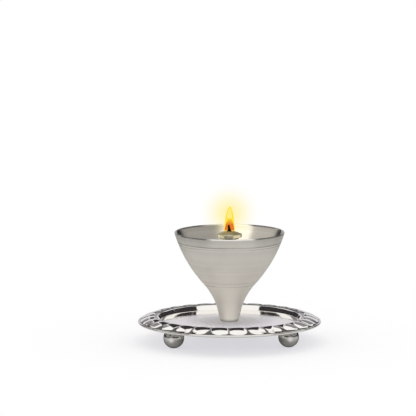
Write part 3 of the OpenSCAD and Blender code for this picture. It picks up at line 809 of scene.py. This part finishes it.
# Plated brass: turned parts with a thin pale plate. The eye sees a warm, softly glossy metal with soot
# stains, a heat tint and painted flame light on its collar, and painted shade and reflection on its cap.
def plated_brass(colours, holder):
    material, tree = blank("plated_brass")
    place = add(tree, "TexCoord").outputs["Object"]
    height = add(tree, "SeparateXYZ", {"Vector": place}).outputs["Z"]
    flat = add(tree, "VectorMath", {0: place, 1: (1, 1, 0)}, operation="MULTIPLY")
    radius = add(tree, "VectorMath", {0: flat}, operation="LENGTH")
    along = add(tree, "Math", {0: height, 1: radius}, operation="ADD")
    # Tool lines are about 0.1 mm apart here too, and are drawn at 0.5 mm
    lines = add(tree, "TexNoise", {"W": along, "Scale": per_metre(0.5), "Detail": 2.0},
                noise_dimensions="1D")
    soot_and_dark_reflection = add(tree, "TexNoise", {"Vector": place, "Scale": per_metre(2.2), "Detail": 4.0})
    stain = add(tree, "MapRange", {"Value": soot_and_dark_reflection, "From Min": 0.45, "From Max": 0.75})
    # Painted shade lies under the flange, a painted dark reflection on the cone, and painted flame light
    # with a heat tint on the collar
    cone_z = COLLAR_Z - holder.cone_height
    flange_z = cone_z - holder.flange_height
    # Painted shade under the flange
    painted_shade_under_flange = add(tree, "MapRange", {"Value": height, "From Min": flange_z + 0.05 * MM,
                                   "From Max": flange_z + 0.25 * MM, "To Min": 0.75, "To Max": 0.0})
    # Painted dark reflection on the cone
    painted_dark_reflection = add(tree, "MapRange", {"Value": height, "From Min": cone_z, "From Max": cone_z + 0.2 * MM,
                                   "To Max": 0.6})
    # Heat tint and painted light from the flame on the collar
    heat_tint_and_flame_light = add(tree, "MapRange", {"Value": height, "From Min": COLLAR_Z - 0.4 * MM,
                                 "From Max": COLLAR_Z - 0.1 * MM, "To Max": 0.9})
    # The oil colour is the painted shade under the flange; the dark one serves the stains and the cone
    dark, oil = toned(colours.brass, 0.55), toned(colours.brass, 0.3)
    base = toned(colours.brass)
    for amount, values in ((stain, dark), (painted_shade_under_flange, oil), (painted_dark_reflection, dark), (heat_tint_and_flame_light, toned(colours.heat_and_flame_light))):
        base = add(tree, "Mix", {"Factor": amount, "A": base, "B": values}, data_type="RGBA")
    rough = add(tree, "MapRange", {"Value": lines, "From Min": 0.3, "From Max": 0.7,
                                   "To Min": 0.2, "To Max": 0.3})
    bump = add(tree, "Bump", {"Strength": 0.2, "Distance": 0.015 * MM, "Height": lines})
    shader = add(tree, "BsdfPrincipled", {"Base Color": base, "Metallic": 1.0, "Roughness": rough,
                                          "Normal": bump})
    add(tree, "OutputMaterial", {"Surface": shader})
    return material


# Zinc plated steel: bought screws and washers. The eye sees a bluish grey, slightly cloudy plate.
def zinc_plate(colours):
    material, tree = blank("zinc_plated_steel")
    place = add(tree, "TexCoord").outputs["Object"]
    cloud = add(tree, "TexNoise", {"Vector": place, "Scale": per_metre(1.5), "Detail": 4.0})
    base = add(tree, "Mix", {"Factor": cloud, "A": toned(colours.zinc, 0.75), "B": toned(colours.zinc)},
               data_type="RGBA")
    rough = add(tree, "MapRange", {"Value": cloud, "To Min": 0.28, "To Max": 0.45})
    shader = add(tree, "BsdfPrincipled", {"Base Color": base, "Metallic": 1.0, "Roughness": rough})
    add(tree, "OutputMaterial", {"Surface": shader})
    return material


# Cotton: loosely twisted yarn. The eye sees matt fibres, burnt black where the yarn stands out of the cap.
def cotton(colours):
    material, tree = blank("cotton_yarn")
    place = add(tree, "TexCoord").outputs["Object"]
    height = add(tree, "SeparateXYZ", {"Vector": place}).outputs["Z"]
    # Fibres are about 0.02 mm thick, and are drawn as clumps of 0.35 mm, or they would not show
    fibres = add(tree, "TexNoise", {"Vector": place, "Scale": per_metre(0.35), "Detail": 3.0})
    ragged = add(tree, "Math", {0: fibres, 1: 0.8 * MM, 2: height}, operation="MULTIPLY_ADD")
    burnt = add(tree, "MapRange", {"Value": ragged, "From Min": COLLAR_Z - 0.8 * MM,
                                   "From Max": COLLAR_Z + 0.6 * MM})
    yarn = add(tree, "Mix", {"Factor": fibres, "A": toned(colours.cotton, 0.72),
                             "B": toned(colours.cotton)}, data_type="RGBA")
    base = add(tree, "Mix", {"Factor": burnt, "A": yarn, "B": toned(colours.char)}, data_type="RGBA")
    bump = add(tree, "Bump", {"Strength": 0.6, "Distance": 0.1 * MM, "Height": fibres})
    shader = add(tree, "BsdfPrincipled", {"Base Color": base, "Roughness": 0.95, "Specular IOR Level": 0.15,
                                          "Normal": bump})
    add(tree, "OutputMaterial", {"Surface": shader})
    return material


class LAMP_OT_tray(bpy.types.Operator):
    """Models the tray with its gadrooned border"""
    bl_idname = "lamp.tray"
    bl_label = "Tray"

    def execute(self, context):
        tray = context.scene.lamp_tray
        piece = surface("gadrooned_tray", [tray_surface(tray)], sharp=45)
        finish = polished_nickel(context.scene.lamp_colours, tray)
        seat(piece, finish, "lamp_stand", "polished_nickel", "tray", mirrored=True)
        return {"FINISHED"}


class LAMP_OT_ball_feet(bpy.types.Operator):
    """Models the three ball feet"""
    bl_idname = "lamp.ball_feet"
    bl_label = "Ball feet"

    def execute(self, context):
        steel = satin_steel(context.scene.lamp_colours)
        for side, place in FEET.items():
            piece = surface("ball_foot_" + side, [foot_surface(context.scene.lamp_foot, place)])
            seat(piece, steel, "lamp_stand", "satin_steel", "foot_" + side, mirrored=True)
        return {"FINISHED"}


class LAMP_OT_cup(bpy.types.Operator):
    """Models the bowl and the stem of the cup"""
    bl_idname = "lamp.cup"
    bl_label = "Cup"

    def execute(self, context):
        cup = context.scene.lamp_cup
        nickel = satin_nickel(context.scene.lamp_colours, cup)
        seat(surface("spun_bowl", [bowl_surface(cup)]), nickel, "lamp_stand", "satin_nickel", "oil_bowl")
        seat(surface("turned_stem", [stem_surface(cup)]), nickel, "lamp_stand", "satin_nickel", "stem")
        return {"FINISHED"}


class LAMP_OT_wick_holder(bpy.types.Operator):
    """Models the base, tube and cap of the wick holder"""
    bl_idname = "lamp.wick_holder"
    bl_label = "Wick holder"

    def execute(self, context):
        holder = context.scene.lamp_holder
        brass = plated_brass(context.scene.lamp_colours, holder)
        made = {"base": base_surface(holder), "tube": tube_surface(holder), "cap": [cap_surface(holder)]}
        for part, grids in made.items():
            seat(surface("holder_" + part, grids), brass, "wick_holder", "pale_brass", "wick_" + part)
        return {"FINISHED"}


class LAMP_OT_wick(bpy.types.Operator):
    """Models the twisted cotton wick with its burnt tip"""
    bl_idname = "lamp.wick"
    bl_label = "Wick"

    def execute(self, context):
        piece = surface("twisted_wick", [wick_surface(context.scene.lamp_wick)], sharp=70)
        seat(piece, cotton(context.scene.lamp_colours), "wick", "cotton", "wick")
        return {"FINISHED"}


class LAMP_OT_fasteners(bpy.types.Operator):
    """Gives the screw, washer and studs under the tray their zinc plate"""
    bl_idname = "lamp.fasteners"
    bl_label = "Fasteners"

    def execute(self, context):
        zinc = zinc_plate(context.scene.lamp_colours)
        for name in ("stem_screw", "stem_washer", "foot_studs"):
            node = frame["nodes"][name]
            node.visible_glossy = False
            node.data.materials.clear()
            node.data.materials.append(zinc)
        return {"FINISHED"}


# Photograph's frame: where the camera stands, the size of a pixel at the lamp and the pixel of its foot
CAMERA_AZIMUTH = math.radians(-2.9)
CAMERA_ELEVATION = math.radians(8.13)
CAMERA_DISTANCE = 3.2
IMAGE_PIXELS = 416
PIXEL = 0.653 * MM
AXIS_PIXEL_X = 229.5
GROUND_PIXEL_Y = 341.9

# Strength of the even light, and how far the ground reaches from the lamp
SOFT_LIGHT = 0.9
GROUND_REACH = 9.0


def camera():
    """Camera at the photograph's angle, aimed so that the lamp's axis falls on its pixel."""
    right = Vector((math.cos(CAMERA_AZIMUTH), math.sin(CAMERA_AZIMUTH), 0))
    back = Vector((math.sin(CAMERA_AZIMUTH) * math.cos(CAMERA_ELEVATION),
                   -math.cos(CAMERA_AZIMUTH) * math.cos(CAMERA_ELEVATION), math.sin(CAMERA_ELEVATION)))
    middle = IMAGE_PIXELS / 2
    drop = (GROUND_PIXEL_Y - middle) * PIXEL
    aim_z = drop / (math.cos(CAMERA_ELEVATION) - drop / CAMERA_DISTANCE * math.sin(CAMERA_ELEVATION))
    aim = Vector((0, 0, aim_z)) - right * (AXIS_PIXEL_X - middle) * PIXEL
    data = bpy.data.cameras.new("camera")
    data.lens = CAMERA_DISTANCE / PIXEL * data.sensor_width / IMAGE_PIXELS
    made = bpy.data.objects.new("camera", data)
    made.location = aim + back * CAMERA_DISTANCE
    made.rotation_euler = (-back).to_track_quat("-Z", "Y").to_euler()
    bpy.context.scene.collection.objects.link(made)
    bpy.context.scene.camera = made


def seen_directly(tree):
    """Node that is 1 for camera rays and ones mirrored or let through, and 0 for rays of soft light."""
    path = add(tree, "LightPath").outputs
    both = add(tree, "Math", {0: path["Is Camera Ray"], 1: path["Is Glossy Ray"]}, operation="MAXIMUM")
    return add(tree, "Math", {0: both, 1: path["Is Transmission Ray"]}, operation="MAXIMUM")


def world():
    """White surroundings for what is seen, and a softer even light for what is lit."""
    made = bpy.data.worlds.new("studio")
    bpy.context.scene.world = made
    made.use_nodes = True
    tree = made.node_tree
    tree.nodes.clear()
    strength = add(tree, "MapRange", {"Value": seen_directly(tree), "To Min": SOFT_LIGHT, "To Max": 1.0})
    glow = add(tree, "Background", {"Color": (1, 1, 1, 1), "Strength": strength})
    add(tree, "OutputWorld", {"Surface": glow})


def put_up(name, grid, material, unseen_by=()):
    """Makes a stage object from a grid and a material, which some kinds of rays pass by."""
    made = surface(name, [grid])
    made.data.materials.append(material)
    for ray in unseen_by:
        setattr(made, "visible_" + ray, False)
    return made


def set_stops(node, stops):
    """Gives a colour ramp its stops, which are places and colours from its start to its end."""
    ramp = node.color_ramp.elements
    ramp[0].position, ramp[-1].position = stops[0][0], stops[-1][0]
    for place, _ in stops[1:-1]:
        ramp.new(place)
    for stop, (_, values) in zip(ramp, stops):
        stop.color = values


def ground(colours):
    """White ground: its own light and its lit part add up to white where nothing shades it.

    Metal mirrors the ground as a grey that is dark in the shade of the lamp and far from it, so that it
    keeps its form against the white. From below the ground is clear, and the lamp's underside can be seen.
    """
    material, tree = blank("ground_paper")
    paper = add(tree, "BsdfDiffuse", {"Color": toned([1 - c for c in colours.ground], 1 / SOFT_LIGHT)})
    # Shares of the way to 0.25 m from the lamp, and of the ground's light that metal mirrors there
    shares = ((0.14, 0.16), (0.22, 0.5), (0.3, 0.74), (0.4, 0.8), (0.55, 0.42), (1.0, 0.1))
    apart = add(tree, "VectorMath", {0: add(tree, "TexCoord").outputs["Object"]}, operation="LENGTH")
    apart = add(tree, "MapRange", {"Value": apart, "From Max": 0.25})
    dimmed = add(tree, "ValToRGB", {"Fac": apart})
    set_stops(dimmed, [(place, toned(colours.ground, part)) for place, part in shares])
    tone = add(tree, "Mix", {"Factor": add(tree, "LightPath").outputs["Is Glossy Ray"],
                             "A": toned(colours.ground), "B": dimmed}, data_type="RGBA")
    own = add(tree, "Emission", {"Color": tone, "Strength": seen_directly(tree)})
    both = add(tree, "AddShader", {0: paper, 1: own})
    normal = add(tree, "SeparateXYZ", {"Vector": add(tree, "NewGeometry").outputs["Normal"]})
    above = add(tree, "Math", {0: normal.outputs["Z"], 1: 0.0}, operation="GREATER_THAN")
    sided = add(tree, "MixShader", {0: above, 1: add(tree, "BsdfTransparent"), 2: both})
    add(tree, "OutputMaterial", {"Surface": sided})
    reach = np.linspace(-GROUND_REACH, GROUND_REACH, 7)
    put_up("ground", np.stack(np.broadcast_arrays(reach[:, None], reach, 0.0), axis=-1), material)


def dome_patch(low, high, dome=1.6, foot_z=0.0):
    """Patch of a dome round the lamp's axis, from a low to a high edge.

    An edge is an elevation and the two azimuths, from the front, between which it runs, all in degrees.
    """
    up, along = np.linspace(0, 1, 9), np.linspace(0, 1, 33)[:, None]
    rise, start, end = np.radians(np.multiply.outer(low, 1 - up) + np.multiply.outer(high, up))
    turn = start + (end - start) * along
    out, z = dome * np.cos(rise), foot_z + dome * np.sin(rise)
    return np.stack(np.broadcast_arrays(out * np.sin(turn), -out * np.cos(turn), z), axis=-1)


def card(name, values, grid, reach=(0.0, 10.0), strength=1.0, fade=0.0):
    """Glowing card that only metal at a distance within its reach shows, mirrored once or twice.

    With a fade, it thins out from its middle to nothing at that distance.
    """
    material, tree = blank(name + "_card")
    glow = add(tree, "Emission", {"Color": toned(values), "Strength": strength})
    path = add(tree, "LightPath").outputs
    early = add(tree, "Math", {0: path["Glossy Depth"], 1: 2.5}, operation="LESS_THAN")
    near, far = reach
    shown = add(tree, "Math", {0: path["Ray Length"], 1: (near + far) / 2, 2: (far - near) / 2},
                operation="COMPARE")
    shown = add(tree, "Math", {0: early, 1: shown}, operation="MULTIPLY")
    if fade:
        middle = tuple(grid[grid.shape[0] // 2, grid.shape[1] // 2])
        apart = add(tree, "VectorMath", {0: add(tree, "TexCoord").outputs["Object"], 1: middle},
                    operation="DISTANCE")
        thin = add(tree, "MapRange", {"Value": apart, "From Min": fade, "From Max": 0.0},
                   interpolation_type="SMOOTHSTEP")
        shown = add(tree, "Math", {0: shown, 1: thin}, operation="MULTIPLY")
    both = add(tree, "MixShader", {0: shown, 1: add(tree, "BsdfTransparent"), 2: glow})
    add(tree, "OutputMaterial", {"Surface": both})
    put_up(name, grid, material, ("camera", "diffuse", "shadow", "transmission", "volume_scatter"))


def tray_cards(colours):
    """Cards on a wide dome: a grey floor, dark bands on the wall and grey stripes at the tray's ends."""
    card("grey_sweep", colours.grey_card, dome_patch((0, 158, 202), (18, 149, 211)))
    card("dark_back", colours.dark_card, dome_patch((18, 173, 187), (50, 164, 196)))
    pairs = (("dark_low", colours.dark_card, (0, 105, 158), (21, 105, 146)),
             ("dark_middle", colours.dark_card, (21, 55, 129), (43, 61, 112)),
             ("dark_high", colours.dark_card, (43, 61, 112), (66, 95, 120)),
             ("grey", colours.stripe_card, (18, 149.5, 172), (36, 142, 167)))
    for side, turn in (("left", -1), ("right", 1)):
        for part, values, low, high in pairs:
            grid = dome_patch(np.multiply(low, (1, turn, turn)), np.multiply(high, (1, turn, turn)))
            card(f"{part}_{side}", values, grid)


def bowl_cards(colours):
    """Cards close over the bowl: shade, sky and the flame's glow on its inside, and glints on the cap."""
    across, over_cap = (42 * MM, 85 * MM), (18 * MM, 30 * MM)
    for part, values, start, end, strength in (("right", colours.shade_card, 16, 178, 1.0),
                                               ("left", colours.pale_card, -178, -84, 1.0),
                                               ("glow", colours.glow_card, -84, 8, 1.35)):
        grid = dome_patch((5, start, end), (62, start, end), 45 * MM, COLLAR_Z)
        card("bowl_" + part, values, grid, across, strength)
    warm = dome_patch((18, -38, 58), (78, -38, 58), 44 * MM, COLLAR_Z)
    card("bowl_warm", colours.glow_card, warm, across, 1.2, 23 * MM)
    for side, start, end in (("left", -130, -50), ("right", 28, 104)):
        grid = dome_patch((-42, start, end), (12, start, end), 30 * MM, COLLAR_Z)
        card("cap_glow_" + side, colours.glow_card, grid, over_cap)


def foot_cards(colours, foot):
    """Cards close round the front feet: a soft highlight on each ball, and a dark band over it."""
    close, ball_z = (0, 14 * MM), foot.diameter / 2
    for side, turn, glow_at in (("left", -1, -24), ("right", 1, 10)):
        low, high = (-42, glow_at - 40, glow_at + 40), (22, glow_at - 34, glow_at + 34)
        grid = dome_patch(low, high, 11.5 * MM, ball_z) + FEET[side]
        card("foot_glow_" + side, colours.grey_card, grid, close, 1.7, 6.5 * MM)
        start, end = -40 * turn, 85 * turn
        grid = dome_patch((6, start, end), (16, start, end), 12 * MM, ball_z) + FEET[side]
        card("foot_shade_" + side, colours.dark_card, grid, close)


def flame_shell(name, width, low, high, low_colour, high_colour, cover):
    """Teardrop round the wick: its radius falls by a power of the height and is drawn in at its foot.

    Only its far side glows, so that the wick stands dark in front of it from every side. Cover is the share
    that it hides of what lies behind.
    """
    taper, drawn_in, closing, bend = 0.6, 0.2, 0.02, 0.3 * MM
    t = np.linspace(0, 1, 60)[:, None]
    turn = np.linspace(0, 2 * np.pi, 40, endpoint=False)
    radius = width * (1 - t ** 2) ** taper * np.sqrt(np.minimum(1, 0.5 + t / drawn_in))
    radius = radius * np.minimum(1, t / closing)
    x, y, z = bend * t ** 3 + radius * np.cos(turn), radius * np.sin(turn), low + (high - low) * t
    grid = np.stack(np.broadcast_arrays(x, y, z), axis=-1).swapaxes(0, 1)
    material, tree = blank(name)
    level = add(tree, "SeparateXYZ", {"Vector": add(tree, "TexCoord").outputs["Object"]}).outputs["Z"]
    up = add(tree, "MapRange", {"Value": level, "From Min": low, "From Max": high})
    tone = add(tree, "ValToRGB", {"Fac": up})
    set_stops(tone, [(0.6, toned(low_colour)), (1.0, toned(high_colour))])
    glow = add(tree, "Emission", {"Color": tone, "Strength": 1.0})
    far_side = add(tree, "Math", {0: add(tree, "NewGeometry").outputs["Backfacing"], 1: cover},
                   operation="MULTIPLY")
    both = add(tree, "MixShader", {0: far_side, 1: add(tree, "BsdfTransparent"), 2: glow})
    add(tree, "OutputMaterial", {"Surface": both})
    made = put_up(name, np.concatenate([grid, grid[:1]]), material, ("diffuse", "glossy", "shadow"))
    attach(made, "wick")


def halo(values, middle_z, reach):
    """Ball of haze round the flame that takes up blue light, thinner by the square towards its edge."""
    densest = 110.0
    material, tree = blank("flame_halo")
    place = add(tree, "TexCoord").outputs["Object"]
    apart = add(tree, "VectorMath", {0: place, 1: (0, 0, middle_z)}, operation="DISTANCE")
    thin = add(tree, "MapRange", {"Value": apart, "From Max": reach, "To Min": 1.0, "To Max": 0.0})
    thin = add(tree, "Math", {0: thin, 1: 2.0}, operation="POWER")
    dense = add(tree, "Math", {0: thin, 1: densest}, operation="MULTIPLY")
    haze = add(tree, "VolumeAbsorption", {"Color": toned(values), "Density": dense})
    add(tree, "OutputMaterial", {"Volume": haze})
    ball = lathe(arc((0, middle_z), reach, -90, 90, 25), 48)
    made = put_up("flame_halo", ball, material, ("diffuse", "glossy", "transmission", "shadow"))
    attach(made, "wick")


def flame(colours):
    """Flame on the wick: a halo, and three shells with their radius, and foot and top above the collar."""
    high, core = colours.flame_high, colours.flame_core
    for part, width, foot, top, low_colour, high_colour, cover in (
            ("outer", 3.5, -1, 16.5, high, high, 0.97),
            ("core", 1.6, 8.6, 15, core, core, 0.75),
            ("inner", 3.4, -3, 8.8, colours.flame_low, high, 0.9)):
        flame_shell("flame_" + part, width * MM, COLLAR_Z + foot * MM, COLLAR_Z + top * MM,
                    low_colour, high_colour, cover)
    halo(colours.flame_halo, COLLAR_Z + 12 * MM, 22 * MM)


class LAMP_OT_stage(bpy.types.Operator):
    """Makes the camera, ground, light, mirrored cards and flame"""
    bl_idname = "lamp.stage"
    bl_label = "Stage"

    def execute(self, context):
        colours = context.scene.lamp_colours
        camera()
        world()
        ground(colours)
        tray_cards(colours)
        bowl_cards(colours)
        foot_cards(colours, context.scene.lamp_foot)
        flame(colours)
        context.scene.view_settings.view_transform = "Standard"
        return {"FINISHED"}


GROUPS = {"lamp_tray": LampTraySizes, "lamp_foot": LampFootSizes, "lamp_cup": LampCupSizes,
          "lamp_holder": LampHolderSizes, "lamp_wick": LampWickSizes, "lamp_colours": LampColours}
OPERATORS = (LAMP_OT_tray, LAMP_OT_ball_feet, LAMP_OT_cup, LAMP_OT_wick_holder, LAMP_OT_wick,
             LAMP_OT_fasteners, LAMP_OT_stage)


class LAMP_PT_sidebar(bpy.types.Panel):
    """Sizes, colours and operators of the lamp"""
    bl_idname = "LAMP_PT_sidebar"
    bl_label = "Oil lamp"
    bl_space_type = "VIEW_3D"
    bl_region_type = "UI"
    bl_category = "Oil lamp"

    def draw(self, context):
        for operator in OPERATORS:
            self.layout.operator(operator.bl_idname)
        for group, kind in GROUPS.items():
            box = self.layout.box()
            for name in kind.__annotations__:
                box.prop(getattr(context.scene, group), name)


CLASSES = (*GROUPS.values(), *OPERATORS, LAMP_PT_sidebar)


def register():
    for kind in CLASSES:
        bpy.utils.register_class(kind)
    for name, kind in GROUPS.items():
        setattr(bpy.types.Scene, name, PointerProperty(type=kind))


def unregister():
    for name in GROUPS:
        delattr(bpy.types.Scene, name)
    for kind in reversed(CLASSES):
        bpy.utils.unregister_class(kind)


def main():
    """Registers the classes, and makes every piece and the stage."""
    register()
    bpy.ops.lamp.tray()
    bpy.ops.lamp.ball_feet()
    bpy.ops.lamp.cup()
    bpy.ops.lamp.wick_holder()
    bpy.ops.lamp.wick()
    bpy.ops.lamp.fasteners()
    bpy.ops.lamp.stage()


if __name__ == "__main__":
    main()
